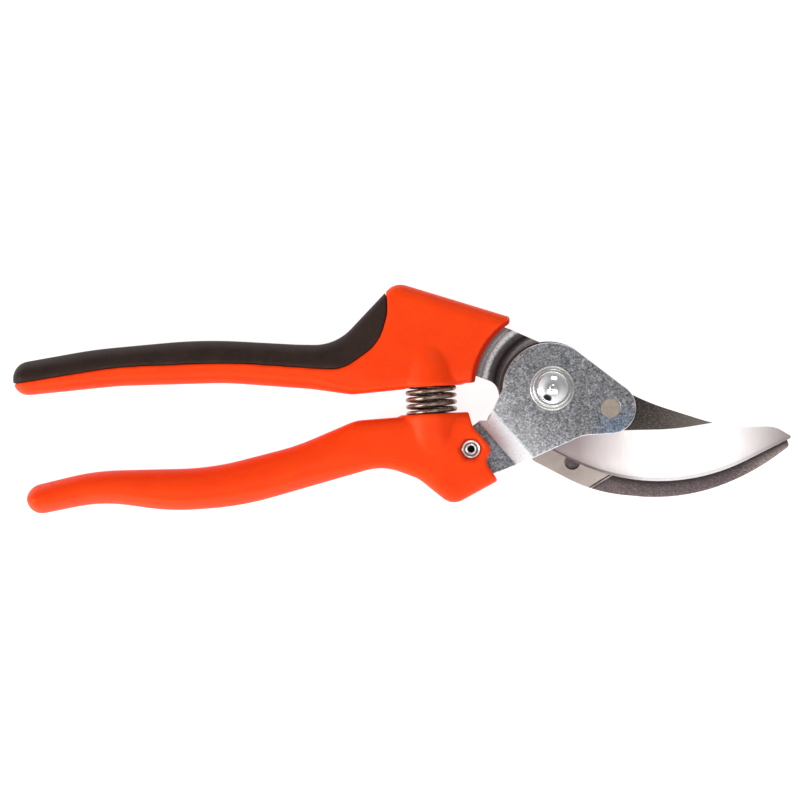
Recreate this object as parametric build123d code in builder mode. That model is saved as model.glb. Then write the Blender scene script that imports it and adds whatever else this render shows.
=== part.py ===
from build123d import *
from math import cos, radians, sin, sqrt
import os

os.makedirs("parts", exist_ok=True)

# Bypass pruning shears, lying flat and closed, in millimetres.
# Origin: on the pivot axis, at the plane the shears lie on. +X runs towards the
# blade tip, +Y towards the upper handle, +Z out of the front face.
# The upper arm is the upper handle with the hooked counter-blade at the back.
# The lower arm is the lower handle with the front plate and the cutting blade.

# heights of the layers above the plane the shears lie on
handle_back = 2.0
handle_front = 15.0
mid_height = 8.5
counter_back = 4.0
counter_front = 7.0
blade_back = 7.1
blade_front = 10.1
plate_front = 12.6

# handles
handle_round = 3.0
nose_clearance_radius = 20.9
nose_lip = 1.0
nose_lip_depth = 2.8
nose_end = -10.9
tang_thickness = 3.0
plate_tang_thickness = 2.5

# return spring, its axis leaning a little towards the upper handle's tail
spring_outer_radius = 6.7
spring_wire = 1.25
spring_pitch = 1.78
spring_turns = 9
spring_centre = (-31.1, -3.1, mid_height)
spring_direction = (-0.05, 1.0, 0.0)
pocket_radius = 7.0
pocket_depth = 9.2
housing_radius = 8.5

# pivot
bolt_radius = 3.0
bush_radius = 4.0
running_clearance = 0.05
hub_radius = 12.3
dome_radius = 4.1
collar_radius = 5.8

# other fasteners: places in plan and sizes
blade_rivet_at = (15.0, -5.2)
blade_rivet_radius = 2.5
handle_rivet_at = (-20.9, -15.7)
handle_rivet_flange = 2.5
handle_rivet_shank = 1.8
handle_rivet_bore = 0.8
tang_pin_at = (-25.0, 14.6)
tang_pin_radius = 1.5

# catch, hinged on the back of the counter-blade
catch_pivot = (-9.5, 7.5)
catch_stud_at = (-13.6, -8.8)
catch_stud_radius = 1.25
catch_rivet_radius = 1.5
catch_back = 1.6
catch_thickness = 2.0
catch_open_per_degree = -1.0
opening_angle = 28


def turned(point, centre, degrees):
    """The point turned about a centre, in plan."""
    angle = radians(degrees)
    dx = point[0] - centre[0]
    dy = point[1] - centre[1]
    x = centre[0] + dx * cos(angle) - dy * sin(angle)
    y = centre[1] + dx * sin(angle) + dy * cos(angle)
    return (x, y)


def finished(piece, name):
    """Labels a sub-part and writes it."""
    piece.part.label = name
    export_step(piece.part, f"parts/{name}.step")


# --- front plate: pressed steel, joggled down into the lower handle ---

bend_across = (-0.746, -0.666, 0)
bend_start = 14.6
bend_width = 4.6
bend_drop = 2.85
plate_lobe_radius = 6.6

with BuildSketch() as plate_outline:
    with Locations((-0.5, -0.6)):
        Circle(hub_radius)
    with BuildLine():
        FilletPolyline(
            (-6.0, 9.0),
            (6.9, 9.2),
            (19.0, 0.0),
            blade_rivet_at,
            (15.4, -11.8),
            (8.0, -12.2),
            (-8.1, -19.5),
            (-14.2, -21.9),
            (-26.5, -24.6),
            (-36.0, -22.0),
            (-36.0, -18.2),
            (-23.6, -17.6),
            (-23.4, -12.0),
            (-18.6, -8.4),
            (-16.6, -8.4),
            (-12.6, 0.0),
            close=True,
            radius=[1, 0, 0, 0, 0, 10, 1, 3, 3, 1.5, 1.5, 1.5, 1.5, 0.4, 0.6, 2],
        )
    make_face()
    with Locations(blade_rivet_at):
        Circle(plate_lobe_radius)

with BuildPart() as front_plate:
    extrude(plate_outline.sketch, amount=plate_front)
    with BuildSketch(Plane(origin=(0, 0, 0), x_dir=bend_across, z_dir=(-0.666, 0.746, 0))):
        with BuildLine():
            low = plate_front - plate_tang_thickness
            Polyline(
                (-40, low),
                (bend_start, low),
                (bend_start + bend_width, low - bend_drop),
                (60, low - bend_drop),
                (60, plate_front - bend_drop),
                (bend_start + bend_width + 0.8, plate_front - bend_drop),
                (bend_start + 0.8, plate_front),
                (-40, plate_front),
                close=True,
            )
        make_face()
    extrude(amount=60, both=True, mode=Mode.INTERSECT)
    with Locations((0, 0, plate_front)):
        Hole(bush_radius + running_clearance)
    with Locations((*blade_rivet_at, plate_front)):
        Hole(blade_rivet_radius)
    with Locations((*handle_rivet_at, plate_front)):
        Hole(handle_rivet_shank)
finished(front_plate, "front_plate")

# --- cutting blade: riveted behind the front plate, ground hollow on its front ---

edge_thickness = 0.25
shoulder_thickness = 0.7
final_bevel_width = 0.9
hollow = 0.22
edge_corner = (27.5, -30.1)
edge_radius = 50
edge_slope = 0.5
blade_hub_at = (-0.9, -0.6)
blade_hub_radius = 12.6
bevel_stations = (-8, 0, 8, 16, 24, 32, 40, 48, 56, 64)
grind_line = (-10.2, -10.6, -10.8, -10.8, -10.7, -10.3, -9.1, -8.0, -7.2, -6.4)


def edge_at(x):
    """How far down the cutting edge is: an arc between two straight runs."""
    tilt = sqrt(1 + edge_slope**2)
    along = x - edge_corner[0]
    if abs(along) < edge_radius * edge_slope / tilt:
        return edge_corner[1] + edge_radius * tilt - sqrt(edge_radius**2 - along**2)
    return edge_corner[1] + edge_slope * abs(along)


with BuildSketch() as blade_outline:
    with BuildLine():
        FilletPolyline(
            (-11.2, 4.0),
            (-7.4, 11.2),
            (5.0, 10.4),
            (11.6, 3.0),
            (24.5, -3.7),
            (45.0, -10.2),
            (57.6, -9.9),
            (62.4, -12.65),
            edge_corner,
            (-2.5, -14.7),
            (-10.8, -6.0),
            close=True,
            radius=[6, 7, 7, 14, 60, 45, 7, 0.5, edge_radius, 4, 5],
        )
    make_face()
    with Locations(blade_hub_at):
        Circle(blade_hub_radius)

with BuildPart() as cutting_blade:
    with BuildSketch(Plane.XY.offset(blade_back)):
        add(blade_outline.sketch)
    extrude(amount=blade_front - blade_back)
    # the hollow grind, from the grind line down to a narrow final bevel along the edge
    for x, grind in zip(bevel_stations, grind_line):
        edge = edge_at(x)
        shoulder = edge + final_bevel_width
        middle = (grind + shoulder) / 2
        middle_height = (blade_front + blade_back + shoulder_thickness) / 2 - hollow
        with BuildSketch(Plane(origin=(x, 0, 0), x_dir=(0, 1, 0), z_dir=(1, 0, 0))):
            with BuildLine():
                ThreePointArc(
                    (grind, blade_front),
                    (middle, middle_height),
                    (shoulder, blade_back + shoulder_thickness),
                )
                Polyline(
                    (shoulder, blade_back + shoulder_thickness),
                    (edge, blade_back + edge_thickness),
                    (edge - 2, blade_back + edge_thickness),
                    (edge - 2, blade_front + 2),
                    (grind, blade_front + 2),
                    (grind, blade_front),
                )
            make_face()
    loft(mode=Mode.SUBTRACT)
    with Locations((0, 0, blade_front)):
        Hole(bush_radius + running_clearance)
    with Locations((*blade_rivet_at, blade_front)):
        Hole(blade_rivet_radius - 0.5)
finished(cutting_blade, "cutting_blade")

# --- counter-blade: flat hook and hub, its neck joggled forward into the upper handle ---

joggle_inner = 13.9
joggle_outer = 18.5
joggle_round = 2.5
hook_hole_at = (5.4, -19.1)
hook_hole_radius = 2.0
hook_hole_depth = 2.2
catch_rivet_depth = 2.0

with BuildSketch() as hook_outline:
    Circle(11.0)
    with BuildLine():
        FilletPolyline(
            (-4.0, -8.0),
            (-5.2, -18.6),
            (11.0, -27.0),
            (34.0, -29.2),
            (53.0, -21.6),
            (61.6, -15.0),
            (60.8, -12.9),
            (49.0, -15.9),
            (32.0, -22.6),
            (13.0, -18.0),
            (8.0, -6.0),
            close=True,
            radius=[1, 1.5, 40, 50, 60, 0.9, 0.6, 50, 30, 16, 1],
        )
    make_face()

# the rim of the hook is ground away outside the cutting edge, from a slanted step to the tip
grind_inset = 0.5
grind_reach = 5.5
grind_fall = 1.9
with BuildPart() as hook_grind:
    for x in bevel_stations[1:]:
        inner = edge_at(x) + grind_inset
        with BuildSketch(Plane(origin=(x, 0, 0), x_dir=(0, 1, 0), z_dir=(1, 0, 0))):
            with BuildLine():
                Polyline(
                    (inner, counter_front),
                    (inner - grind_reach, counter_front - grind_fall),
                    (inner - grind_reach - 3, counter_front - grind_fall),
                    (inner - grind_reach - 3, counter_front + 2),
                    (inner, counter_front + 2),
                    close=True,
                )
            make_face()
    loft()
    split(bisect_by=Plane(origin=(9.8, -25.5, 0), z_dir=(2.8, -4.4, 0)), keep=Keep.TOP)

with BuildSketch() as neck_outline:
    with BuildLine():
        FilletPolyline(
            (-2.0, 11.4),
            (-10.6, 15.1),
            (-22.0, 19.0),
            (-38.0, 19.0),
            (-38.0, 12.6),
            (-24.0, 12.2),
            (-22.6, 4.4),
            (-18.8, 2.8),
            (-14.3, 1.2),
            (-13.2, -3.4),
            (-2.0, -3.4),
            close=True,
            radius=[1, 6, 20, 1.5, 1.5, 2, 1.2, 1, 3.5, 0.4, 1],
        )
    make_face()

with BuildPart() as counter_blade:
    with BuildSketch(Plane.XZ):
        with BuildLine():
            FilletPolyline(
                (0, counter_back),
                (joggle_inner + 0.8, counter_back),
                (joggle_outer + 0.8, mid_height - tang_thickness / 2),
                (60, mid_height - tang_thickness / 2),
                (60, mid_height + tang_thickness / 2),
                (joggle_outer, mid_height + tang_thickness / 2),
                (joggle_inner, counter_front),
                (0, counter_front),
                close=True,
                radius=[0, joggle_round, joggle_round, 0, 0, joggle_round, joggle_round, 0],
            )
        make_face()
    revolve(axis=Axis.Z)
    extrude(neck_outline.sketch, amount=20, mode=Mode.INTERSECT)
    with BuildSketch(Plane.XY.offset(counter_back)):
        add(hook_outline.sketch)
    extrude(amount=counter_front - counter_back)
    add(hook_grind.part, mode=Mode.SUBTRACT)
    with Locations((0, 0, counter_front)):
        Hole(bush_radius)
    with BuildSketch(Plane.XY.offset(counter_front - hook_hole_depth)):
        with Locations(hook_hole_at):
            Circle(hook_hole_radius)
    extrude(amount=hook_hole_depth, mode=Mode.SUBTRACT)
    with BuildSketch(Plane.XY.offset(counter_back)):
        with Locations(catch_pivot):
            Circle(catch_rivet_radius)
    extrude(amount=catch_rivet_depth, mode=Mode.SUBTRACT)
    with Locations((*tang_pin_at, handle_front)):
        Hole(tang_pin_radius)
finished(counter_blade, "counter_blade")

# --- spring housings: pointed bulges that stand out on both faces of a handle ---

spring_plane = Plane(origin=spring_centre, x_dir=(1, 0.05, 0), z_dir=spring_direction)
gap_half = 3.5
housing_profile = [
    (0, gap_half),
    (housing_radius, gap_half),
    (housing_radius, gap_half + 1.2),
    (7.9, 9.6),
    (6.3, 14.6),
    (0, 14.6),
]


def housing(sign):
    """The bulge round one end of the spring, as a solid of revolution."""
    with BuildPart(mode=Mode.PRIVATE) as bulge:
        with BuildSketch(Plane(origin=spring_centre, x_dir=(1, 0.05, 0), z_dir=(0, 0, 1))):
            with BuildLine():
                FilletPolyline(
                    *[(r, sign * h) for r, h in housing_profile],
                    close=True,
                    radius=[0, 0.5, 2, 12, 0.3, 0],
                )
            make_face()
        revolve(axis=Axis(spring_centre, spring_direction))
    return bulge.part


# --- upper handle: glass-filled nylon body under an overmoulded grip ---

with BuildSketch() as upper_outline:
    with BuildLine():
        FilletPolyline(
            (-138.8, 6.2),
            (-118.0, 9.9),
            (-90.0, 12.5),
            (-66.0, 11.2),
            (-55.8, 11.0),
            (-40.5, 27.3),
            (-5.0, 16.5),
            (-8.0, 2.5),
            (-24.5, 1.0),
            (-51.5, -1.75),
            (-62.0, -0.3),
            (-84.0, 1.3),
            (-112.0, 0.5),
            (-139.0, -2.3),
            close=True,
            radius=[4.2, 120, 130, 30, 13, 4.6, 3.5, 3.5, 20, 6, 30, 80, 100, 3.8],
        )
    make_face()

with BuildSketch() as grip_region:
    with BuildLine():
        FilletPolyline(
            (-44.5, 32.0),
            (-42.1, 20.5),
            (-44.6, 11.4),
            (-54.2, 4.6),
            (-83.0, 6.5),
            (-112.0, 5.4),
            (-146.0, -0.2),
            (-146.0, 32.0),
            close=True,
            radius=[0, 14, 12, 10, 120, 100, 0, 0],
        )
    make_face()

with BuildPart() as upper_blank:
    with BuildSketch(Plane.XY.offset(handle_back)):
        add(upper_outline.sketch)
    extrude(amount=handle_front - handle_back)
    fillet(upper_blank.faces().filter_by(Axis.Z).edges(), radius=handle_round)
    with BuildSketch(Plane.XY.offset(handle_front - nose_lip_depth)):
        Circle(nose_clearance_radius)
    extrude(amount=5, mode=Mode.SUBTRACT)
    with BuildSketch():
        Circle(nose_clearance_radius - nose_lip)
        with Locations((nose_end, nose_clearance_radius)):
            Rectangle(10, 20, align=(Align.MIN, Align.CENTER))
    extrude(amount=20, mode=Mode.SUBTRACT)
    add(housing(1))
    with Locations(spring_plane):
        Cylinder(
            pocket_radius,
            pocket_depth,
            align=(Align.CENTER, Align.CENTER, Align.MIN),
            mode=Mode.SUBTRACT,
        )

# the rib that the grip is moulded round
rib_inset = 3.2
with BuildPart() as grip_rib:
    with BuildSketch(Plane.XY.offset(mid_height)):
        add(upper_outline.sketch)
        offset(amount=-rib_inset)
    extrude(amount=2.6, both=True)

with BuildPart() as soft_grip:
    add(upper_blank.part)
    extrude(grip_region.sketch, amount=20, mode=Mode.INTERSECT)
    add(grip_rib.part, mode=Mode.SUBTRACT)
finished(soft_grip, "soft_grip")

with BuildPart() as upper_tang_pin:
    with BuildSketch(Plane.XY.offset(handle_back)):
        with Locations(tang_pin_at):
            Circle(tang_pin_radius)
    extrude(amount=10.5)
    chamfer(upper_tang_pin.faces().sort_by(Axis.Z)[0].edges(), length=0.3)
finished(upper_tang_pin, "upper_tang_pin")

with BuildPart() as upper_handle:
    add(upper_blank.part)
    add(soft_grip.part, mode=Mode.SUBTRACT)
    add(counter_blade.part, mode=Mode.SUBTRACT)
    add(upper_tang_pin.part, mode=Mode.SUBTRACT)
finished(upper_handle, "upper_handle")

# --- lower handle ---

rivet_recess = 1.2
rivet_recess_radius = 3.3
rivet_flange_height = 0.7

with BuildSketch() as lower_outline:
    with BuildLine():
        FilletPolyline(
            (-15.0, -5.6),
            (-4.0, -18.4),
            (-25.7, -30.4),
            (-34.4, -23.4),
            (-43.6, -20.0),
            (-80.0, -30.5),
            (-98.0, -31.8),
            (-116.0, -29.3),
            (-136.2, -33.4),
            (-134.9, -25.5),
            (-118.0, -21.4),
            (-88.0, -20.7),
            (-66.0, -15.0),
            (-50.6, -8.4),
            close=True,
            radius=[4, 4, 4.4, 8, 14, 80, 60, 40, 3.8, 4.2, 60, 70, 60, 10],
        )
    make_face()

with BuildSketch() as lower_nose_cut:
    with BuildLine():
        FilletPolyline(
            (-21.6, 4.0),
            (-21.4, -6.8),
            (-20.5, -10.0),
            (-15.3, -15.8),
            (-17.4, -18.8),
            (-12.6, -25.8),
            (10.0, -30.0),
            (10.0, 4.0),
            close=True,
            radius=[0, 2, 2, 2.4, 2, 0, 0, 0],
        )
    make_face()

with BuildPart() as handle_rivet:
    with BuildSketch(Plane.XY.offset(handle_back + rivet_recess)):
        with Locations(handle_rivet_at):
            Circle(handle_rivet_shank)
            Circle(handle_rivet_bore, mode=Mode.SUBTRACT)
    extrude(amount=handle_front - handle_back - 2 * rivet_recess)
    for height in (handle_back + rivet_recess, handle_front - rivet_recess - rivet_flange_height):
        with BuildSketch(Plane.XY.offset(height)):
            with Locations(handle_rivet_at):
                Circle(handle_rivet_flange)
                Circle(handle_rivet_bore, mode=Mode.SUBTRACT)
        extrude(amount=rivet_flange_height)
finished(handle_rivet, "handle_rivet")

with BuildPart() as lower_handle:
    with BuildSketch(Plane.XY.offset(handle_back)):
        add(lower_outline.sketch)
    extrude(amount=handle_front - handle_back)
    fillet(lower_handle.faces().filter_by(Axis.Z).edges(), radius=handle_round)
    extrude(lower_nose_cut.sketch, amount=20, mode=Mode.SUBTRACT)
    add(housing(-1))
    with Locations(spring_plane):
        Cylinder(
            pocket_radius,
            pocket_depth,
            align=(Align.CENTER, Align.CENTER, Align.MAX),
            mode=Mode.SUBTRACT,
        )
    add(front_plate.part, mode=Mode.SUBTRACT)
    for height in (handle_back, handle_front - rivet_recess):
        with BuildSketch(Plane.XY.offset(height)):
            with Locations(handle_rivet_at):
                RegularPolygon(radius=rivet_recess_radius, side_count=6)
        extrude(amount=rivet_recess, mode=Mode.SUBTRACT)
    with BuildSketch(Plane.XY.offset(handle_back)):
        with Locations(handle_rivet_at):
            Circle(handle_rivet_shank)
    extrude(amount=handle_front - handle_back, mode=Mode.SUBTRACT)
    add(handle_rivet.part, mode=Mode.SUBTRACT)
finished(lower_handle, "lower_handle")

# --- return spring: open coil, closed up between the handles ---

coil_radius = spring_outer_radius - spring_wire / 2
wire_sides = 8
with BuildPart() as return_spring:
    # one turn at a time, each starting where the one before it ends
    for turn in range(spring_turns):
        start = spring_plane.origin + spring_plane.z_dir * (turn - spring_turns / 2) * spring_pitch
        with BuildLine(mode=Mode.PRIVATE) as coil:
            Helix(
                pitch=spring_pitch,
                height=spring_pitch,
                radius=coil_radius,
                center=start,
                direction=spring_direction,
            )
        with BuildSketch(Plane(origin=coil.line @ 0, z_dir=coil.line % 0)):
            RegularPolygon(radius=spring_wire / 2, side_count=wire_sides)
        sweep(path=coil.line, is_frenet=True)
finished(return_spring, "return_spring")

# --- pivot ---

with BuildPart() as pivot_bush:
    with BuildSketch(Plane.XY.offset(counter_back)):
        Circle(bush_radius)
        Circle(bolt_radius, mode=Mode.SUBTRACT)
    extrude(amount=plate_front + running_clearance - counter_back)
finished(pivot_bush, "pivot_bush")

collar_thickness = 0.6
with BuildPart() as pivot_collar:
    with BuildSketch(Plane.XY.offset(plate_front + running_clearance)):
        Circle(collar_radius)
        Circle(bolt_radius, mode=Mode.SUBTRACT)
    extrude(amount=collar_thickness)
    chamfer(pivot_collar.edges().filter_by(GeomType.CIRCLE).sort_by(Axis.Z)[-1], length=0.25)
finished(pivot_collar, "pivot_collar")

head_base = plate_front + running_clearance + collar_thickness
dome_base = head_base + 0.7
dome_height = 2.4
flange_radius = 4.6
with BuildPart() as pivot_bolt:
    with BuildSketch(Plane.XZ):
        with BuildLine():
            Polyline(
                (0, 0.0),
                (bolt_radius - 0.4, 0.0),
                (bolt_radius, 0.4),
                (bolt_radius, head_base),
                (flange_radius, head_base),
                (flange_radius, dome_base - 0.2),
                (dome_radius, dome_base),
            )
            RadiusArc(
                (dome_radius, dome_base),
                (0, dome_base + dome_height),
                -(dome_radius**2 + dome_height**2) / (2 * dome_height),
            )
            Line((0, dome_base + dome_height), (0, 0))
        make_face()
    revolve(axis=Axis.Z)
finished(pivot_bolt, "pivot_bolt")

nut_height = 3.2
nut_corner_radius = 5.6
washer_radius = 5.4
washer_clearance = 0.1
with BuildPart() as spring_washer:
    with BuildSketch(Plane.XY.offset(nut_height)):
        Circle(washer_radius)
        Circle(bolt_radius + washer_clearance, mode=Mode.SUBTRACT)
    extrude(amount=counter_back - nut_height)
finished(spring_washer, "spring_washer")

with BuildPart() as pivot_nut:
    with BuildSketch():
        RegularPolygon(radius=nut_corner_radius, side_count=6)
        Circle(bolt_radius, mode=Mode.SUBTRACT)
    extrude(amount=nut_height)
    with BuildSketch(Plane.XZ):
        with BuildLine():
            Polyline((0, 0), (4.9, 0), (5.7, 0.5), (5.7, nut_height), (0, nut_height), close=True)
        make_face()
    revolve(axis=Axis.Z, mode=Mode.INTERSECT)
finished(pivot_nut, "pivot_nut")

# --- blade rivet: flush on both faces ---

with BuildPart() as blade_rivet:
    with BuildSketch(Plane.XY.offset(blade_back)):
        with Locations(blade_rivet_at):
            Circle(blade_rivet_radius - 0.5)
    extrude(amount=blade_front - blade_back)
    with BuildSketch(Plane.XY.offset(blade_front)):
        with Locations(blade_rivet_at):
            Circle(blade_rivet_radius)
    extrude(amount=plate_front - blade_front)
finished(blade_rivet, "blade_rivet")

# --- catch: a lever on the back that hooks a stud of the lower arm ---

catch_front = catch_back + catch_thickness

with BuildPart() as catch_stud:
    with BuildSketch(Plane.XY.offset(catch_back - 0.3)):
        with Locations(catch_stud_at):
            Circle(catch_stud_radius)
    extrude(amount=blade_front - catch_back + 0.3)
    chamfer(catch_stud.faces().sort_by(Axis.Z)[0].edges(), length=0.3)
    add(front_plate.part, mode=Mode.SUBTRACT)
finished(catch_stud, "catch_stud")

slot_clearance = 0.25
lever_eye_radius = 3.0
with BuildPart() as catch_lever:
    with BuildSketch(Plane.XY.offset(catch_back)):
        with Locations(catch_pivot, catch_stud_at):
            Circle(lever_eye_radius)
        with BuildLine():
            Polyline(
                (-12.4, 8.2),
                (-13.6, 12.0),
                (-10.2, 13.2),
                (-7.2, 9.4),
                (-8.6, 2.0),
                (-9.8, -5.0),
                (-11.5, -11.0),
                (-16.5, -9.5),
                (-12.3, -1.6),
                (-11.6, 3.0),
                close=True,
            )
        make_face()
        # the path of the stud, seen from the lever as both turn
        for opened in range(opening_angle + 1):
            stud = turned(catch_stud_at, (0, 0), opened)
            place = turned(stud, catch_pivot, -catch_open_per_degree * opened)
            with Locations(place):
                Circle(catch_stud_radius + slot_clearance, mode=Mode.SUBTRACT)
        with Locations(catch_pivot):
            Circle(catch_rivet_radius + running_clearance, mode=Mode.SUBTRACT)
    extrude(amount=catch_thickness)
finished(catch_lever, "catch_lever")

with BuildPart() as catch_pad:
    with BuildSketch(Plane.XY.offset(catch_back - 1.2)):
        with BuildLine():
            FilletPolyline(
                (-12.2, 9.9),
                (-15.2, 10.6),
                (-12.6, 14.2),
                (-8.4, 14.4),
                (-9.0, 11.4),
                close=True,
                radius=[1, 1.2, 1.5, 1.2, 1],
            )
        make_face()
    extrude(amount=3.2)
    fillet(catch_pad.faces().sort_by(Axis.Z)[0].edges(), radius=0.6)
    add(catch_lever.part, mode=Mode.SUBTRACT)
finished(catch_pad, "catch_pad")

with BuildPart() as catch_washer:
    with BuildSketch(Plane.XY.offset(catch_front)):
        with Locations(catch_pivot):
            Circle(lever_eye_radius - 0.1)
            Circle(catch_rivet_radius, mode=Mode.SUBTRACT)
    extrude(amount=counter_back - catch_front)
finished(catch_washer, "catch_washer")

catch_head_height = 0.85
catch_head_radius = 2.8
with BuildPart() as catch_rivet:
    with BuildSketch(Plane.XY.offset(catch_back - running_clearance - catch_head_height)):
        with Locations(catch_pivot):
            Circle(catch_head_radius)
    extrude(amount=catch_head_height)
    fillet(catch_rivet.faces().sort_by(Axis.Z)[0].edges(), radius=0.5)
    with BuildSketch(Plane.XY.offset(catch_back - running_clearance)):
        with Locations(catch_pivot):
            Circle(catch_rivet_radius)
    extrude(amount=counter_back + catch_rivet_depth - catch_back + running_clearance)
finished(catch_rivet, "catch_rivet")
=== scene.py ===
import bmesh
import bpy
import math
from mathutils import Matrix, Vector


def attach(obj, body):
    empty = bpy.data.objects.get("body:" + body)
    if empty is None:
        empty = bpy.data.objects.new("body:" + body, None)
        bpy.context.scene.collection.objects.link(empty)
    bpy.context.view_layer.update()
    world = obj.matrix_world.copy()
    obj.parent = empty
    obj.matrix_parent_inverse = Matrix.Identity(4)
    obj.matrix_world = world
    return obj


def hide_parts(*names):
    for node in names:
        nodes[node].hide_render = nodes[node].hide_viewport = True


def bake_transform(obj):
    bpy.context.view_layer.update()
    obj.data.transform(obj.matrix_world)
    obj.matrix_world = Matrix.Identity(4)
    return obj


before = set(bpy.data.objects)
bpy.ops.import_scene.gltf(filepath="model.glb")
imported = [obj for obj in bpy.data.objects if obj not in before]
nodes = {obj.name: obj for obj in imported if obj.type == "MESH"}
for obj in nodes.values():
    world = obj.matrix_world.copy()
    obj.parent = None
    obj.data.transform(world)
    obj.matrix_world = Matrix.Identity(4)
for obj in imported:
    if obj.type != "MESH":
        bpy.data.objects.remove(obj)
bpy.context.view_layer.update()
mm = 0.001
handleRivetAt = (-20.9, -15.7)

print("pruning shears: frame loaded")


# helpers for meshes; lengths in mm, angles in degrees

meshRules = {
    "weld": 0.002,
    "spunWeld": 0.001,
    "flatAngle": 1.0,
    "sharpAngle": 28,
    "spunSharpAngle": 40,
    "edgeSegments": 3,
    "relax": 0.5,
}


def linked(name, data):
    piece = bpy.data.objects.new(name, data)
    bpy.context.scene.collection.objects.link(piece)
    return piece


def meshFrom(bm, name):
    mesh = bpy.data.meshes.new(name)
    bm.to_mesh(mesh)
    bm.free()
    return mesh


def shadeSmooth(mesh):
    for face in mesh.polygons:
        face.use_smooth = True


def mergedCopy(nodeName, pieceName):
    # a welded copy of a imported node, so that modifiers see whole surfaces
    bm = bmesh.new()
    bm.from_mesh(nodes[nodeName].data)
    bmesh.ops.remove_doubles(bm, verts=bm.verts, dist=meshRules["weld"] * mm)
    return linked(pieceName, meshFrom(bm, pieceName))


def applyModifiers(piece):
    graph = bpy.context.evaluated_depsgraph_get()
    mesh = bpy.data.meshes.new_from_object(piece.evaluated_get(graph))
    piece.modifiers.clear()
    old = piece.data
    piece.data = mesh
    bpy.data.meshes.remove(old)
    mesh.name = piece.name


def placed(piece, body, nodeName, material):
    piece.data.materials.clear()
    piece.data.materials.append(material)
    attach(piece, body)
    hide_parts(nodeName)


def machinedCopy(nodeName, pieceName, edge, clamp):
    # pressed, turned or ground metal: a small even break along every real edge
    piece = mergedCopy(nodeName, pieceName)
    shadeSmooth(piece.data)
    sharp = math.radians(meshRules["sharpAngle"])
    if edge == 0:
        piece.data.set_sharp_from_angle(angle=sharp)
        return piece
    bm = bmesh.new()
    bm.from_mesh(piece.data)
    bmesh.ops.dissolve_limit(bm, angle_limit=math.radians(meshRules["flatAngle"]), verts=bm.verts,
                             edges=bm.edges)
    bm.to_mesh(piece.data)
    bm.free()
    bevel = piece.modifiers.new("edgeBreak", "BEVEL")
    bevel.width = edge * mm
    bevel.segments = meshRules["edgeSegments"]
    bevel.limit_method = "ANGLE"
    bevel.angle_limit = sharp
    bevel.use_clamp_overlap = clamp
    normals = piece.modifiers.new("evenShading", "WEIGHTED_NORMAL")
    normals.keep_sharp = True
    applyModifiers(piece)
    return piece


def smoothRegion(piece, inside, repeats):
    bm = bmesh.new()
    bm.from_mesh(piece.data)
    chosen = [v for v in bm.verts if inside(v.co / mm)]
    for step in range(repeats):
        bmesh.ops.smooth_vert(bm, verts=chosen, factor=meshRules["relax"], use_axis_x=True,
                              use_axis_y=True, use_axis_z=True)
    bm.to_mesh(piece.data)
    bm.free()


def mouldedCopy(nodeName, pieceName):
    # moulded plastic: even small voxels, then relaxed so that no edge stays knife-sharp
    piece = mergedCopy(nodeName, pieceName)
    remesh = piece.modifiers.new("mould", "REMESH")
    remesh.mode = "VOXEL"
    remesh.voxel_size = handleMould["voxel"] * mm
    remesh.use_smooth_shade = True
    applyModifiers(piece)
    smoothRegion(piece, lambda p: True, handleMould["passes"])
    return piece


def spunPiece(name, profile, centre, steps, closed):
    # profile: radius and height, turned about an upright axis through centre
    bm = bmesh.new()
    ring = [bm.verts.new(Vector((centre[0] + r, centre[1], z)) * mm) for r, z in profile]
    edges = [bm.edges.new(pair) for pair in zip(ring, ring[1:])]
    if closed:
        edges.append(bm.edges.new((ring[-1], ring[0])))
    bmesh.ops.spin(bm, geom=ring + edges, cent=Vector((centre[0], centre[1], 0)) * mm,
                   axis=(0, 0, 1), angle=2 * math.pi, steps=steps, use_merge=True)
    bmesh.ops.remove_doubles(bm, verts=bm.verts, dist=meshRules["spunWeld"] * mm)
    bmesh.ops.recalc_face_normals(bm, faces=bm.faces)
    mesh = meshFrom(bm, name)
    shadeSmooth(mesh)
    mesh.set_sharp_from_angle(angle=math.radians(meshRules["spunSharpAngle"]))
    return linked(name, mesh)


def arcProfile(start, height, count):
    # a shallow crown from start to the axis, as radius and height pairs
    radius = (start[0] ** 2 + height ** 2) / (2 * height)
    base = start[1] + height - radius
    widest = math.asin(start[0] / radius)
    angles = [widest * (1 - step / count) for step in range(count + 1)]
    return [(radius * math.sin(a), base + radius * math.cos(a)) for a in angles]


# helpers for materials; four numbers in a look are from low, from high, to low and to high

noiseSpread = (0.3, 0.7)


def startMaterial(name):
    material = bpy.data.materials.new(name)
    material.use_nodes = True
    tree = material.node_tree
    shader = tree.nodes["Principled BSDF"]
    coords = tree.nodes.new("ShaderNodeTexCoord").outputs["Object"]
    return material, tree, shader, coords


def put(tree, value, socket):
    if isinstance(value, tuple):
        socket.default_value = (*value, 1)
    elif isinstance(value, (int, float)):
        socket.default_value = value
    else:
        tree.links.new(value, socket)


def axisParts(tree, vector):
    node = tree.nodes.new("ShaderNodeSeparateXYZ")
    tree.links.new(vector, node.inputs["Vector"])
    return node.outputs


def noise(tree, coords, scale, detail=3.0, roughness=0.55, stretch=None, turn=0.0):
    if stretch:
        mapping = tree.nodes.new("ShaderNodeMapping")
        mapping.inputs["Scale"].default_value = stretch
        mapping.inputs["Rotation"].default_value = (0, 0, turn)
        tree.links.new(coords, mapping.inputs["Vector"])
        coords = mapping.outputs["Vector"]
    node = tree.nodes.new("ShaderNodeTexNoise")
    node.inputs["Scale"].default_value = scale
    node.inputs["Detail"].default_value = detail
    node.inputs["Roughness"].default_value = roughness
    tree.links.new(coords, node.inputs["Vector"])
    return node.outputs["Fac"]


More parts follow.
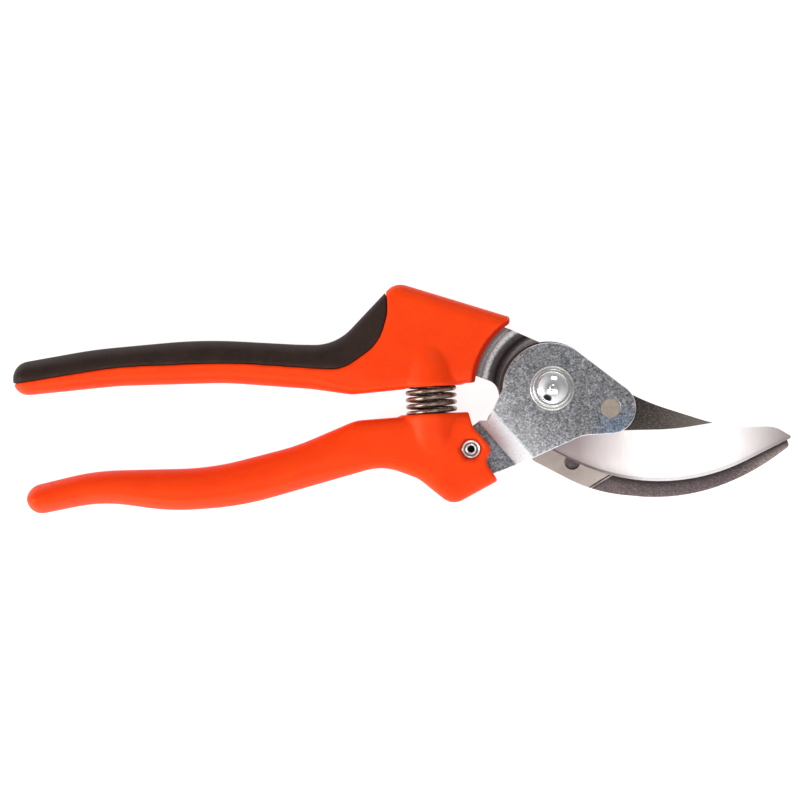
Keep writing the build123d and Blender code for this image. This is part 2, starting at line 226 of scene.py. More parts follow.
def cells(tree, coords, scale):
    node = tree.nodes.new("ShaderNodeTexVoronoi")
    node.inputs["Scale"].default_value = scale
    tree.links.new(coords, node.inputs["Vector"])
    return axisParts(tree, node.outputs["Color"])


def calc(tree, operation, *values):
    node = tree.nodes.new("ShaderNodeMath")
    node.operation = operation
    for socket, value in zip(node.inputs, values):
        put(tree, value, socket)
    return node.outputs[0]


def chained(tree, operation, values):
    result = values[0]
    for value in values[1:]:
        result = calc(tree, operation, result, value)
    return result


def product(tree, *values, clamp=False):
    result = chained(tree, "MULTIPLY", values)
    result.node.use_clamp = clamp
    return result


def total(tree, *values):
    return chained(tree, "ADD", values)


def apart(tree, value, target):
    # how far a value is from its target, either way
    return calc(tree, "ABSOLUTE", calc(tree, "SUBTRACT", value, target))


def fitted(tree, value, low, high, toLow=0.0, toHigh=1.0):
    node = tree.nodes.new("ShaderNodeMapRange")
    tree.links.new(value, node.inputs["Value"])
    ends = {"From Min": low, "From Max": high, "To Min": toLow, "To Max": toHigh}
    for name, number in ends.items():
        node.inputs[name].default_value = number
    return node.outputs["Result"]


def overLength(tree, value, low, high, toLow=0.0, toHigh=1.0):
    # as fitted, for a length whose ends are in mm
    return fitted(tree, value, low * mm, high * mm, toLow, toHigh)


def within(tree, value, rise, fade):
    # 1 between two places in mm, each given as where the change starts and where it is done
    return product(tree, overLength(tree, value, *rise), overLength(tree, value, *fade))


def ramp(tree, value, stops):
    node = tree.nodes.new("ShaderNodeValToRGB")
    band = node.color_ramp
    band.elements[0].position, band.elements[1].position = stops[0][0], stops[-1][0]
    band.elements[0].color, band.elements[1].color = (*stops[0][1], 1), (*stops[-1][1], 1)
    for place, colour in stops[1:-1]:
        band.elements.new(place).color = (*colour, 1)
    tree.links.new(value, node.inputs["Fac"])
    return node.outputs["Color"]


def blendColours(tree, share, first, second, kind="MIX"):
    node = tree.nodes.new("ShaderNodeMix")
    node.data_type = "RGBA"
    node.blend_type = kind
    put(tree, share, node.inputs["Factor"])
    put(tree, first, node.inputs[6])
    put(tree, second, node.inputs[7])
    return node.outputs[2]


def blendValues(tree, share, first, second):
    node = tree.nodes.new("ShaderNodeMix")
    put(tree, share, node.inputs[0])
    put(tree, first, node.inputs[2])
    put(tree, second, node.inputs[3])
    return node.outputs[0]


def bump(tree, shader, height, depth):
    # depth in mm is how far the pattern stands up
    node = tree.nodes.new("ShaderNodeBump")
    node.inputs["Distance"].default_value = depth * mm
    node.inputs["Strength"].default_value = 1.0
    tree.links.new(height, node.inputs["Height"])
    tree.links.new(node.outputs["Normal"], shader.inputs["Normal"])


def facing(tree):
    # how far the surface turns towards the front, from -1 to 1
    normal = tree.nodes.new("ShaderNodeNewGeometry").outputs["Normal"]
    return axisParts(tree, normal)["Z"]


def ringDistance(tree, place, centre):
    # distance from an upright axis, in metres
    x = calc(tree, "SUBTRACT", place["X"], centre[0] * mm)
    y = calc(tree, "SUBTRACT", place["Y"], centre[1] * mm)
    return calc(tree, "SQRT", total(tree, product(tree, x, x), product(tree, y, y)))


def alongDirection(tree, place, direction, origin=(0, 0, 0)):
    # distance along a direction in plan or in space, in metres, from an origin in mm
    parts = [product(tree, calc(tree, "SUBTRACT", place[axis], start * mm), share)
             for axis, share, start in zip("XYZ", direction, origin)]
    return total(tree, *parts)


def wandering(tree, distance, pattern, reach):
    # the distance strays with a pattern, by up to reach in mm
    return total(tree, distance, fitted(tree, pattern, *noiseSpread, -reach * mm, reach * mm))


# moulded nylon of both handles and the catch pad

nylonLook = {
    "base": (0.93, 0.050, 0.0006),
    "deep": (0.87, 0.034, 0.0004),
    "patches": (160, 4),
    "patchShade": (0.35, 0.7, 0, 0.55),
    "specks": (1900, 3),
    "speckShade": (0.4, 0.7, 0, 0.35),
    # painted shade for the sunken lip at the nose
    "lipShade": (0.50, 0.008, 0.003),
    "lipShadeShare": 0.85,
    "lipRadius": ((19.2, 19.5), (22.1, 21.8)),
    "lipHeight": ((11.4, 11.8), (13.2, 12.6)),
    "lipSide": (0, 1),
    "rough": (0.36, 0.5),
    "specular": 0.34,
    "gloss": (1.0, 0.66, 0.42),
    "grain": (5200, 2),
    "grainDepth": 0.012,
    "partingHeight": 8.5,
    "partingRidge": (0, 0.07, 3.0, 0),
}


def makeNylon():
    look = nylonLook
    material, tree, shader, coords = startMaterial("orangeNylon")
    place = axisParts(tree, coords)
    patches = noise(tree, coords, *look["patches"])
    specks = noise(tree, coords, *look["specks"])
    shade = total(tree, fitted(tree, patches, *look["patchShade"]),
                  fitted(tree, specks, *look["speckShade"]))
    colour = blendColours(tree, shade, look["base"], look["deep"])
    # painted shade: the sunken lip at the nose is painted darker, where the handle shades it
    lip = product(tree, within(tree, ringDistance(tree, place, (0, 0)), *look["lipRadius"]),
                  within(tree, place["Z"], *look["lipHeight"]),
                  overLength(tree, place["Y"], *look["lipSide"]), clamp=True)
    colour = blendColours(tree, product(tree, lip, look["lipShadeShare"]), colour, look["lipShade"])
    put(tree, colour, shader.inputs["Base Color"])
    put(tree, fitted(tree, specks, *noiseSpread, *look["rough"]), shader.inputs["Roughness"])
    put(tree, look["specular"], shader.inputs["Specular IOR Level"])
    put(tree, look["gloss"], shader.inputs["Specular Tint"])
    # the fine flash line where the mould halves met
    middle = apart(tree, place["Z"], look["partingHeight"] * mm)
    ridge = overLength(tree, middle, *look["partingRidge"])
    bump(tree, shader, total(tree, noise(tree, coords, *look["grain"]), ridge), look["grainDepth"])
    return material


# overmoulded grip

gripLook = {
    "base": (0.010, 0.0045, 0.0035),
    "light": (0.044, 0.023, 0.018),
    "lightSpread": (0.3, 0.75),
    "patches": (240, 5),
    "specks": (2600, 3, 0.6),
    "rough": (0.46, 0.66),
    "specular": 0.32,
    "gloss": (1.0, 0.78, 0.68),
    "grainDepth": 0.055,
}


def makeGrip():
    look = gripLook
    material, tree, shader, coords = startMaterial("gripElastomer")
    patches = noise(tree, coords, *look["patches"])
    specks = noise(tree, coords, *look["specks"])
    share = product(tree, *(fitted(tree, part, *look["lightSpread"]) for part in (patches, specks)))
    put(tree, blendColours(tree, share, look["base"], look["light"]), shader.inputs["Base Color"])
    put(tree, fitted(tree, specks, *noiseSpread, *look["rough"]), shader.inputs["Roughness"])
    put(tree, look["specular"], shader.inputs["Specular IOR Level"])
    put(tree, look["gloss"], shader.inputs["Specular Tint"])
    bump(tree, shader, specks, look["grainDepth"])
    return material


# zinc plating with its fine crystal spangle

zincLook = {
    "crystal": 2900,
    "crystalShare": 0.52,
    "cluster": 1595,
    "clusterShare": 0.26,
    "cloud": (120, 4, 0.6),
    "cloudShare": 0.22,
    "tones": [(0.08, (0.145, 0.15, 0.16)), (0.5, (0.40, 0.405, 0.42)), (0.95, (0.90, 0.90, 0.93))],
    "along": (-0.746, -0.666),
    "alongReach": (0, 25),
    # painted light along the plate, with a painted highlight on the bend and a painted shadow line at
    # its foot
    "paintedLight": [(0.0, (0.66, 0.66, 0.67)), (0.25, (0.72, 0.72, 0.73)), (0.48, (1.0, 0.99, 1.0)),
               (0.77, (1.0, 0.98, 1.0)), (0.812, (0.30, 0.29, 0.29)), (0.835, (0.56, 0.56, 0.58)),
               (1.0, (0.52, 0.52, 0.54))],
    "tint": (0.70, 0.80, 0.92),
    "tintPatches": (70, 2),
    "tintSpread": (0.52, 0.68, 0, 0.4),
    "blue": (0.55, 0.74, 1.0),
    "blueAt": (16.5, -9.5),
    "blueReach": (1.5, 6.5, 0.75, 0),
    "rub": (0.16, 0.15, 0.15),
    "rubShare": 0.5,
    "rubRadius": 7.7,
    "rubReach": (0.05, 0.3, 1, 0),
    "rubPatches": (260, 2),
    "rubSpread": (0.5, 0.6),
    # painted highlight along the pressed edges
    "edgeHighlight": (0.86, 0.85, 0.87),
    "edgeHighlightShare": 0.85,
    "edgeHighlightTilt": ((0.1, 0.35), (0.9, 0.8)),
    # painted highlight colour for the slope of the bend
    "bendHighlightGrey": (0.60, 0.645, 0.665),
    "bend": ((10.5, 15.5), (20.2, 19.8)),
    "bendCloud": (0.25, 0.6, 0.55, 1.0),
    "bendTilt": (0.99, 0.93, 0.3, 0.85),
    "metallic": (0, 0.85, 1.0, 0.12),
    "rough": (0, 1, 0.26, 0.46),
    "depth": 0.006,
}


def makeZinc():
    look = zincLook
    material, tree, shader, coords = startMaterial("zincSpangle")
    place = axisParts(tree, coords)
    crystal = cells(tree, coords, look["crystal"])
    cluster = cells(tree, coords, look["cluster"])
    cloud = noise(tree, coords, *look["cloud"])
    tone = total(tree, product(tree, crystal["X"], look["crystalShare"]),
                 product(tree, cluster["Y"], look["clusterShare"]),
                 fitted(tree, cloud, *noiseSpread, 0, look["cloudShare"]))
    colour = ramp(tree, tone, look["tones"])
    # painted light along the plate: darker round the pivot, a painted highlight towards the bend, a
    # painted shadow line at the bend's foot, darker again on the tang
    along = alongDirection(tree, place, look["along"])
    level = ramp(tree, overLength(tree, along, *look["alongReach"]), look["paintedLight"])
    colour = blendColours(tree, 1.0, colour, level, "MULTIPLY")
    tint = fitted(tree, noise(tree, coords, *look["tintPatches"]), *look["tintSpread"])
    colour = blendColours(tree, tint, colour, look["tint"], "MULTIPLY")
    blue = overLength(tree, ringDistance(tree, place, look["blueAt"]), *look["blueReach"])
    colour = blendColours(tree, blue, colour, look["blue"], "MULTIPLY")
    # circular rub marks round the pivot
    away = apart(tree, ringDistance(tree, place, (0, 0)), look["rubRadius"] * mm)
    patches = noise(tree, coords, *look["rubPatches"])
    rubbed = product(tree, overLength(tree, away, *look["rubReach"]),
                     fitted(tree, patches, *look["rubSpread"]), look["rubShare"])
    colour = blendColours(tree, rubbed, colour, look["rub"])
    # painted highlight: the slope of the bend is painted light grey and made less metallic
    tilt = calc(tree, "ABSOLUTE", facing(tree))
    onBend = product(tree, within(tree, along, *look["bend"]),
                     fitted(tree, cloud, *look["bendCloud"]), clamp=True)
    bendHighlight = product(tree, onBend, fitted(tree, tilt, *look["bendTilt"]))
    colour = blendColours(tree, bendHighlight, colour, look["bendHighlightGrey"])
    # painted highlight: the pressed edges are painted bright
    edges = [fitted(tree, tilt, *span) for span in look["edgeHighlightTilt"]]
    edgeHighlight = product(tree, *edges, look["edgeHighlightShare"])
    colour = blendColours(tree, edgeHighlight, colour, look["edgeHighlight"])
    put(tree, colour, shader.inputs["Base Color"])
    put(tree, fitted(tree, bendHighlight, *look["metallic"]), shader.inputs["Metallic"])
    put(tree, fitted(tree, crystal["Z"], *look["rough"]), shader.inputs["Roughness"])
    bump(tree, shader, total(tree, crystal["Y"], cloud), look["depth"])
    return material


# cutting blade: dark coat on the flat, bright hollow grind below it

bladeLook = {
    "coat": (0.032, 0.025, 0.022),
    "coatLight": (0.12, 0.098, 0.086),
    "coatThin": (0.30, 0.26, 0.23),
    "coatHeight": (10.055, 10.085),
    "coatEnd": (41, 42, 1, 0),
    "coatSide": (0.35, 0.5, 1, 0),
    "coatSpread": (0.44, 0.68),
    "thinning": (26, 41, 0, 0.5),
    "specks": (2600, 4, 0.7),
    "wear": (210, 5, 0.65),
    "ground": (1.0, 0.965, 0.965),
    "groundDark": (0.36, 0.30, 0.30),
    "streaks": {"scale": 900, "detail": 3, "roughness": 0.6, "stretch": (1.6, 0.09, 1), "turn": 0.08},
    "streakShade": (0.35, 0.7, 0, 0.07),
    "cloud": (60, 3),
    "cloudShade": (0.4, 0.7, 0, 0.06),
    # painted shade at the heel and the tip, and a painted shadow colour along the edge's root
    "heelShade": (24, 6, 0, 1.0),
    "tipShade": (47, 60, 0, 0.95),
    "edgeShadow": (0.16, 0.12, 0.12),
    "edgeHeight": (7.78, 7.83, 1, 0),
    "edgeFade": (10, 24, 0.9, 0.25),
    "rough": (0.40, 0.48),
    "coatRough": (0.42, 0.6),
    "metallic": (0, 1, 1.0, 0.55),
    "depth": 0.003,
}


def makeBlade():
    look = bladeLook
    material, tree, shader, coords = startMaterial("bladeSteel")
    place = axisParts(tree, coords)
    # the coat is left on the flat and on the spine, and ground off below the flat
    onFlat = product(tree, overLength(tree, place["Z"], *look["coatHeight"]),
                     overLength(tree, place["X"], *look["coatEnd"]))
    onSide = fitted(tree, calc(tree, "ABSOLUTE", facing(tree)), *look["coatSide"])
    coated = calc(tree, "MAXIMUM", onFlat, onSide)
    specks = noise(tree, coords, *look["specks"])
    lightSpecks = fitted(tree, specks, *look["coatSpread"])
    coat = blendColours(tree, lightSpecks, look["coat"], look["coatLight"])
    thin = overLength(tree, place["X"], *look["thinning"])
    coat = blendColours(tree, thin, coat, look["coatThin"])
    # painted reflection and shade: the grind is painted bright along its middle and painted darker at
    # the heel and the tip, with a painted shadow line along the edge's root
    streaks = noise(tree, coords, **look["streaks"])
    cloud = noise(tree, coords, *look["cloud"])
    ground = blendColours(tree, fitted(tree, streaks, *look["streakShade"]), look["ground"],
                          look["groundDark"])
    ends = calc(tree, "MAXIMUM", overLength(tree, place["X"], *look["heelShade"]),
                overLength(tree, place["X"], *look["tipShade"]))
    dim = total(tree, ends, fitted(tree, cloud, *look["cloudShade"]))
    ground = blendColours(tree, dim, ground, look["groundDark"])
    edge = product(tree, overLength(tree, place["Z"], *look["edgeHeight"]),
                   overLength(tree, place["X"], *look["edgeFade"]))
    ground = blendColours(tree, edge, ground, look["edgeShadow"])
    put(tree, blendColours(tree, coated, ground, coat), shader.inputs["Base Color"])
    wear = noise(tree, coords, *look["wear"])
    rough = blendValues(tree, coated, fitted(tree, streaks, *noiseSpread, *look["rough"]),
                        fitted(tree, wear, *noiseSpread, *look["coatRough"]))
    put(tree, rough, shader.inputs["Roughness"])
    put(tree, fitted(tree, coated, *look["metallic"]), shader.inputs["Metallic"])
    bump(tree, shader, total(tree, product(tree, coated, specks), streaks), look["depth"])
    return material


# counter-blade: pale flats, dark coarse-ground rim, forged neck

hookLook = {
    "flat": (0.56, 0.485, 0.44),
    "flatDark": (0.42, 0.355, 0.32),
    "flatSpread": (0.3, 0.72),
    "fine": (1500, 4, 0.65),
    "cloud": (130, 4, 0.6),
    "coarse": {"scale": 2100, "detail": 4, "roughness": 0.75, "stretch": (0.8, 1.2, 1), "turn": 0.9},
    # painted shadow colour beside the blade
    "rimShadowed": (0.050, 0.036, 0.040),
    "rimOuter": (0.25, 0.195, 0.20),
    "rimTip": (0.62, 0.52, 0.45),
    "rimHeights": (6.7, 5.5),
    "rimSpeckle": (0.36, 0.68, 0.45, 1.0),
    "rimTones": [(0.0, (0.0, 0.0, 0.0)), (1.0, (1.0, 0.98, 0.98))],
    "tipReach": (46, 60, 0.0, 0.9),
    "tipBreaks": (0.4, 0.7, -0.3, 0.32),
    "rimTop": (6.93, 6.96, 1, 0),
    "rimStart": (3, 4),
    "rimTilt": (0.5, 0.7),
    "rimGrit": 6.0,
    "stepAt": (9.8, -25.5),
    "stepAcross": (0.537, -0.844),
    "stepLines": [(0.15, 0.22, 0.9, (0.03, 0.02, 0.02)), (0.62, 0.2, 0.7, (0.5, 0.44, 0.42)),
                  (1.0, 0.2, 0.8, (0.03, 0.02, 0.02))],
    "stepCore": 0.4,
    "neckSpan": (12.5, 20.5),
    # painted light: rings of highlight and shade round the hub
    "neckPaintedRings": [(13.3, (0.34, 0.31, 0.30)), (14.1, (0.24, 0.20, 0.20)), (14.9, (0.07, 0.05, 0.05)),
                  (15.7, (0.23, 0.21, 0.21)), (16.5, (0.28, 0.27, 0.27)), (16.9, (0.70, 0.68, 0.68)),
                  (17.3, (1.0, 0.98, 0.99)), (17.8, (0.80, 0.78, 0.78)), (18.3, (0.26, 0.24, 0.24)),
                  (18.9, (0.30, 0.27, 0.27)), (19.7, (0.20, 0.16, 0.16))],
    "neckWander": 0.12,
    "neckEnd": (21, 20.5),
    "neckLeft": (1, -3),
    "neckAbove": (-6, -4),
    "neckTilt": (0.2, 0.4),
    "grit": (0.05, 0.045, 0.045),
    "gritSpread": (0.52, 0.6),
    "gritShare": 0.5,
    "crestAt": 17.4,
    "crestReach": (0.4, 0.8, 1, 0),
    "metallic": (0, 1, 0.7, 0.1),
    "rough": (0.26, 0.44),
    "depth": 0.006,
}


def makeHook():
    look = hookLook
    material, tree, shader, coords = startMaterial("hookSteel")
    place = axisParts(tree, coords)
    front = facing(tree)
    fine = noise(tree, coords, *look["fine"])
    cloud = noise(tree, coords, *look["cloud"])
    coarse = noise(tree, coords, **look["coarse"])
    patches = fitted(tree, cloud, *look["flatSpread"])
    colour = blendColours(tree, patches, look["flat"], look["flatDark"])
    # painted shadow: the coarse grind is painted dark beside the blade, where the blade shades it,
    # and lightens outwards and towards the tip
    outward = overLength(tree, place["Z"], *look["rimHeights"])
    rim = blendColours(tree, outward, look["rimShadowed"], look["rimOuter"])
    speckle = ramp(tree, fitted(tree, coarse, *look["rimSpeckle"]), look["rimTones"])
    rim = blendColours(tree, 1.0, rim, speckle, "MULTIPLY")
    tipward = total(tree, overLength(tree, place["X"], *look["tipReach"]),
                    fitted(tree, coarse, *look["tipBreaks"]))
    rim = blendColours(tree, product(tree, outward, tipward, clamp=True), rim, look["rimTip"])
    # painted shadow and highlight lines beside the slanted step: dark, pale, dark
    across = alongDirection(tree, place, look["stepAcross"], look["stepAt"])
    for offset, half, share, shade in look["stepLines"]:
        away = apart(tree, across, offset * mm)
        line = overLength(tree, away, half, half * look["stepCore"], 0, share)
        rim = blendColours(tree, line, rim, shade)
    onRim = product(tree, overLength(tree, place["Z"], *look["rimTop"]),
                    overLength(tree, place["X"], *look["rimStart"]),
                    fitted(tree, front, *look["rimTilt"]))
    colour = blendColours(tree, onRim, colour, rim)
    # the neck: painted light in rings round the hub, with a painted highlight on the crest of the
    # joggle and painted shade in the rings beside it
    away = wandering(tree, ringDistance(tree, place, (0, 0)), fine, look["neckWander"])
    low, high = look["neckSpan"]
    stops = [((radius - low) / (high - low), shade) for radius, shade in look["neckPaintedRings"]]
    paintedRings = ramp(tree, overLength(tree, away, low, high), stops)
    neck = product(tree, overLength(tree, away, *look["neckEnd"]),
                   overLength(tree, place["X"], *look["neckLeft"]),
                   overLength(tree, place["Y"], *look["neckAbove"]),
                   fitted(tree, front, *look["neckTilt"]), clamp=True)
    colour = blendColours(tree, neck, colour, paintedRings)
    grit = product(tree, neck, fitted(tree, coarse, *look["gritSpread"]), look["gritShare"])
    put(tree, blendColours(tree, grit, colour, look["grit"]), shader.inputs["Base Color"])
    put(tree, fitted(tree, fine, *noiseSpread, *look["rough"]), shader.inputs["Roughness"])
    crest = overLength(tree, apart(tree, away, look["crestAt"] * mm), *look["crestReach"])
    metallic = fitted(tree, product(tree, crest, neck), *look["metallic"])
    put(tree, metallic, shader.inputs["Metallic"])
    coarseRim = product(tree, onRim, coarse, look["rimGrit"])
    bump(tree, shader, total(tree, fine, coarseRim), look["depth"])
    return material


# plain, polished and turned metals share one maker

metalGrain = {
    "fine": (5, 0.65),
    "fineShade": (0.35, 0.7, 0, 0.6),
    "cloudScale": 0.2,
    "cloudShade": (0.4, 0.7, 0, 0.4),
}
metalLooks = {
    "polishedSteel": {"light": (0.90, 0.90, 0.91), "dark": (0.72, 0.72, 0.73), "rough": (0.05, 0.13),
                      "scale": 420, "depth": 0.0008, "metallic": 1.0},
    "turnedSteel": {"light": (0.74, 0.73, 0.71), "dark": (0.50, 0.49, 0.48), "rough": (0.16, 0.32),
                    "scale": 900, "depth": 0.003, "metallic": 1.0},
    "platedSteel": {"light": (0.56, 0.56, 0.55), "dark": (0.34, 0.34, 0.34), "rough": (0.28, 0.46),
                    "scale": 700, "depth": 0.006, "metallic": 1.0},
    "rivetSteel": {"light": (0.44, 0.365, 0.31), "dark": (0.30, 0.245, 0.21), "rough": (0.34, 0.5),
                   "scale": 1100, "depth": 0.005, "metallic": 0.7},
    "bushBronze": {"light": (0.62, 0.43, 0.20), "dark": (0.42, 0.28, 0.13), "rough": (0.3, 0.45),
                   "scale": 1600, "depth": 0.006, "metallic": 1.0},
    "springSteel": {"light": (0.42, 0.35, 0.29), "dark": (0.08, 0.05, 0.04), "rough": (0.10, 0.18),
                    "scale": 800, "depth": 0.004, "metallic": 0.85},
}


def makeMetal(name):
    look = metalLooks[name]
    material, tree, shader, coords = startMaterial(name)
    fine = noise(tree, coords, look["scale"], *metalGrain["fine"])
    cloud = noise(tree, coords, look["scale"] * metalGrain["cloudScale"])
    share = total(tree, fitted(tree, fine, *metalGrain["fineShade"]),
                  fitted(tree, cloud, *metalGrain["cloudShade"]))
    put(tree, blendColours(tree, share, look["light"], look["dark"]), shader.inputs["Base Color"])
    put(tree, fitted(tree, fine, *noiseSpread, *look["rough"]), shader.inputs["Roughness"])
    put(tree, look["metallic"], shader.inputs["Metallic"])
    bump(tree, shader, fine, look["depth"])
    return material


headLook = {
    "fine": (1200, 4),
    "radius": 2.52,
    "wander": 0.06,
    # painted highlights and shade ring by ring, with black shade down the hole
    "paintedRings": [(0.0, (0.012, 0.008, 0.008)), (0.30, (0.012, 0.008, 0.008)), (0.40, (0.72, 0.71, 0.69)),
              (0.52, (0.88, 0.88, 0.87)), (0.62, (0.10, 0.09, 0.09)), (0.70, (0.35, 0.34, 0.33)),
              (0.80, (0.92, 0.92, 0.91)), (0.93, (0.75, 0.74, 0.73)), (1.0, (0.16, 0.14, 0.13))],
    "rough": (0.2, 0.34),
    "metallic": 0.9,
    "depth": 0.004,
}


def makeHeadSteel():
    # painted light in rings on the formed rivet head: painted highlights on its rolled rims, painted
    # shade in its groove and at its edge, painted black shade down its hole
    look = headLook
    material, tree, shader, coords = startMaterial("rivetHead")
    fine = noise(tree, coords, *look["fine"])
    away = ringDistance(tree, axisParts(tree, coords), handleRivetAt)
    away = wandering(tree, away, fine, look["wander"])
    paintedRings = ramp(tree, overLength(tree, away, 0, look["radius"]), look["paintedRings"])
    put(tree, paintedRings, shader.inputs["Base Color"])
    put(tree, fitted(tree, fine, *noiseSpread, *look["rough"]), shader.inputs["Roughness"])
    put(tree, look["metallic"], shader.inputs["Metallic"])
    bump(tree, shader, fine, look["depth"])
    return material


orangeNylon = makeNylon()
gripElastomer = makeGrip()
zincSpangle = makeZinc()
bladeSteel = makeBlade()
hookSteel = makeHook()
metals = {name: makeMetal(name) for name in metalLooks}
rivetHead = makeHeadSteel()
print("materials made")


# handles

handleMould = {
    "voxel": 0.4,
    "passes": 3,
    "blendPasses": 2,
    "crown": 0.42,
    "crownPower": 2.2,
    "crownStart": -46,
    "crownFull": -62,
    "housingAlong": (-43, -19.5),
    "housingFaces": (3.8, 13.2),
    "upperHousing": (3.5, 20),
    "lowerHousing": (-26, -9.5),
    "rivetRecess": 20,
}


def besideSpring(p, span):
    # the faces round a spring housing, clear of its mouth
    low, high = span
    left, right = handleMould["housingAlong"]
    back, front = handleMould["housingFaces"]
    return low < p.y < high and left < p.x < right and (p.z > front or p.z < back)


def clearOfRivet(p):
    # outside the recess round the handle rivet, whose size is a squared radius
    x, y = handleRivetAt
    return (p.x - x) ** 2 + (p.y - y) ** 2 > handleMould["rivetRecess"]


def outlineOf(pieces):
    # lowest and highest y of a handle at each whole millimetre along it
    spans = {}
    for piece in pieces:
        for vertex in piece.data.vertices:
            station = round(vertex.co.x / mm)
            low, high = spans.get(station, (math.inf, -math.inf))
            spans[station] = (min(low, vertex.co.y), max(high, vertex.co.y))
    return spans


def crownHandle(piece, spans):
    # the tail of a handle is fuller along its middle than at its sides
    middle = nylonLook["partingHeight"] * mm
    start, full = handleMould["crownStart"], handleMould["crownFull"]
    firstStation = min(spans)
    for vertex in piece.data.vertices:
        x = vertex.co.x / mm
        share = min(max((x - start) / (full - start), 0), 1)
        if share == 0:
            continue
        station = math.floor(x)
        here = spans[max(station, firstStation)]
        ahead = spans.get(station + 1, here)
        part = x - station
        low, high = (a * (1 - part) + b * part for a, b in zip(here, ahead))
        across = (vertex.co.y - (low + high) / 2) / max((high - low) / 2, mm)
        drop = handleMould["crown"] * share * min(abs(across), 1) ** handleMould["crownPower"]
        vertex.co.z = middle + (vertex.co.z - middle) * (1 - drop)


upperHandle = mouldedCopy("upper_handle", "upperHandle")
softGrip = mouldedCopy("soft_grip", "softGrip")
upperSpans = outlineOf([upperHandle, softGrip])
crownHandle(upperHandle, upperSpans)
crownHandle(softGrip, upperSpans)
smoothRegion(upperHandle, lambda p: besideSpring(p, handleMould["upperHousing"]),
             handleMould["blendPasses"])
placed(upperHandle, "upper_arm", "upper_handle", orangeNylon)
placed(softGrip, "upper_arm", "soft_grip", gripElastomer)
lowerHandle = mouldedCopy("lower_handle", "lowerHandle")
crownHandle(lowerHandle, outlineOf([lowerHandle]))
smoothRegion(lowerHandle, lambda p: besideSpring(p, handleMould["lowerHousing"]) and clearOfRivet(p),
             handleMould["blendPasses"])
placed(lowerHandle, "lower_arm", "lower_handle", orangeNylon)
print("handles made")


# flat metal parts: node, piece, body, edge break, material and slot

flatParts = [
    ("front_plate", "frontPlate", "lower_arm", 0.34, zincSpangle, "zinc_plate"),
    ("cutting_blade", "cuttingBlade", "lower_arm", 0.0, bladeSteel, "blade_steel"),
    ("counter_blade", "counterBlade", "upper_arm", 0.16, hookSteel, "hook_steel"),
    ("catch_lever", "catchLever", "catch", 0.2, metals["platedSteel"], "plain_steel"),
    ("catch_pad", "catchPad", "catch", 0.3, orangeNylon, "catch_nylon"),
    ("catch_stud", "catchStud", "lower_arm", 0.12, metals["platedSteel"], "plain_steel"),
    ("catch_rivet", "catchRivet", "upper_arm", 0.12, metals["rivetSteel"], "rivet_steel"),
    ("catch_washer", "catchWasher", "upper_arm", 0.06, metals["platedSteel"], "plain_steel"),
    ("pivot_nut", "pivotNut", "upper_arm", 0.12, metals["platedSteel"], "plain_steel"),
    ("spring_washer", "springWasher", "upper_arm", 0.1, metals["turnedSteel"], "plain_steel"),
    ("pivot_bush", "pivotBush", "upper_arm", 0.1, metals["bushBronze"], "bearing_bronze"),
    ("upper_tang_pin", "upperTangPin", "upper_arm", 0.1, metals["rivetSteel"], "plain_steel"),
    ("blade_rivet", "bladeRivet", "lower_arm", 0.08, metals["rivetSteel"], "rivet_steel"),
]
for nodeName, pieceName, body, edge, material, slotName in flatParts:
    # only the nut needs its edge break held back, or it grows past its box
    piece = machinedCopy(nodeName, pieceName, edge, clamp=nodeName == "pivot_nut")
    placed(piece, body, nodeName, material)
print("flat parts made")


# turned parts on the pivot and in the handle

boltShape = {
    "steps": 96,
    "shank": [(0, 0.15), (2.3, 0.15), (2.6, 0.35), (2.95, 0.75), (2.95, 13.25)],
    "flange": [(4.45, 13.25), (4.6, 13.4), (4.6, 13.7), (4.5, 13.82), (4.2, 13.84), (4.0, 13.80),
               (3.9, 13.9), (3.84, 14.8), (3.78, 14.98), (3.7, 15.1)],
    "crownFoot": (3.6, 15.18),
    "crown": 1.0,
    "crownSteps": 16,
    "crownInner": 0.9,
    "pipFoot": 0.05,
    "pip": [(0.75, 0.0), (0.68, 0.06), (0.5, 0.1), (0.0, 0.1)],
}


def boltProfile():
    shape = boltShape
    crown = arcProfile(shape["crownFoot"], shape["crown"], shape["crownSteps"])
    dome = [point for point in crown if point[0] > shape["crownInner"]]
    domeTop = dome[-1][1] + shape["pipFoot"]
    pip = [(radius, domeTop + rise) for radius, rise in shape["pip"]]
    return shape["shank"] + shape["flange"] + dome + pip


pivotBolt = spunPiece("pivotBolt", boltProfile(), (0, 0), boltShape["steps"], False)
placed(pivotBolt, "upper_arm", "pivot_bolt", metals["polishedSteel"])

collarShape = {
    "steps": 96,
    "section": [(3.0, 12.66), (5.55, 12.66), (5.78, 12.76), (5.8, 12.92), (5.68, 13.1), (5.5, 13.16),
                (5.32, 13.1), (5.2, 12.98), (5.08, 12.98), (4.96, 13.12), (4.8, 13.22), (4.6, 13.25),
                (3.0, 13.25)],
}
pivotCollar = spunPiece("pivotCollar", collarShape["section"], (0, 0), collarShape["steps"], True)
placed(pivotCollar, "upper_arm", "pivot_collar", metals["turnedSteel"])

rivetShape = {
    "steps": 64,
    "depth": 17,
    "shank": [(1.8, 4.2), (1.8, 12.8)],
    "head": [(2.5, 13.25), (2.52, 13.7), (2.4, 14.05), (2.15, 14.2), (1.9, 14.1), (1.72, 13.85),
             (1.6, 13.75), (1.45, 13.8), (1.3, 13.98), (1.12, 14.02), (0.92, 13.9), (0.8, 13.6),
             (0.78, 10.0), (0, 10.0)],
}
# both heads are formed alike
backHead = [(r, rivetShape["depth"] - z) for r, z in reversed(rivetShape["head"])]
handleRivet = spunPiece("handleRivet", backHead + rivetShape["shank"] + rivetShape["head"],
                        handleRivetAt, rivetShape["steps"], False)
placed(handleRivet, "lower_arm", "handle_rivet", rivetHead)
print("turned parts made")


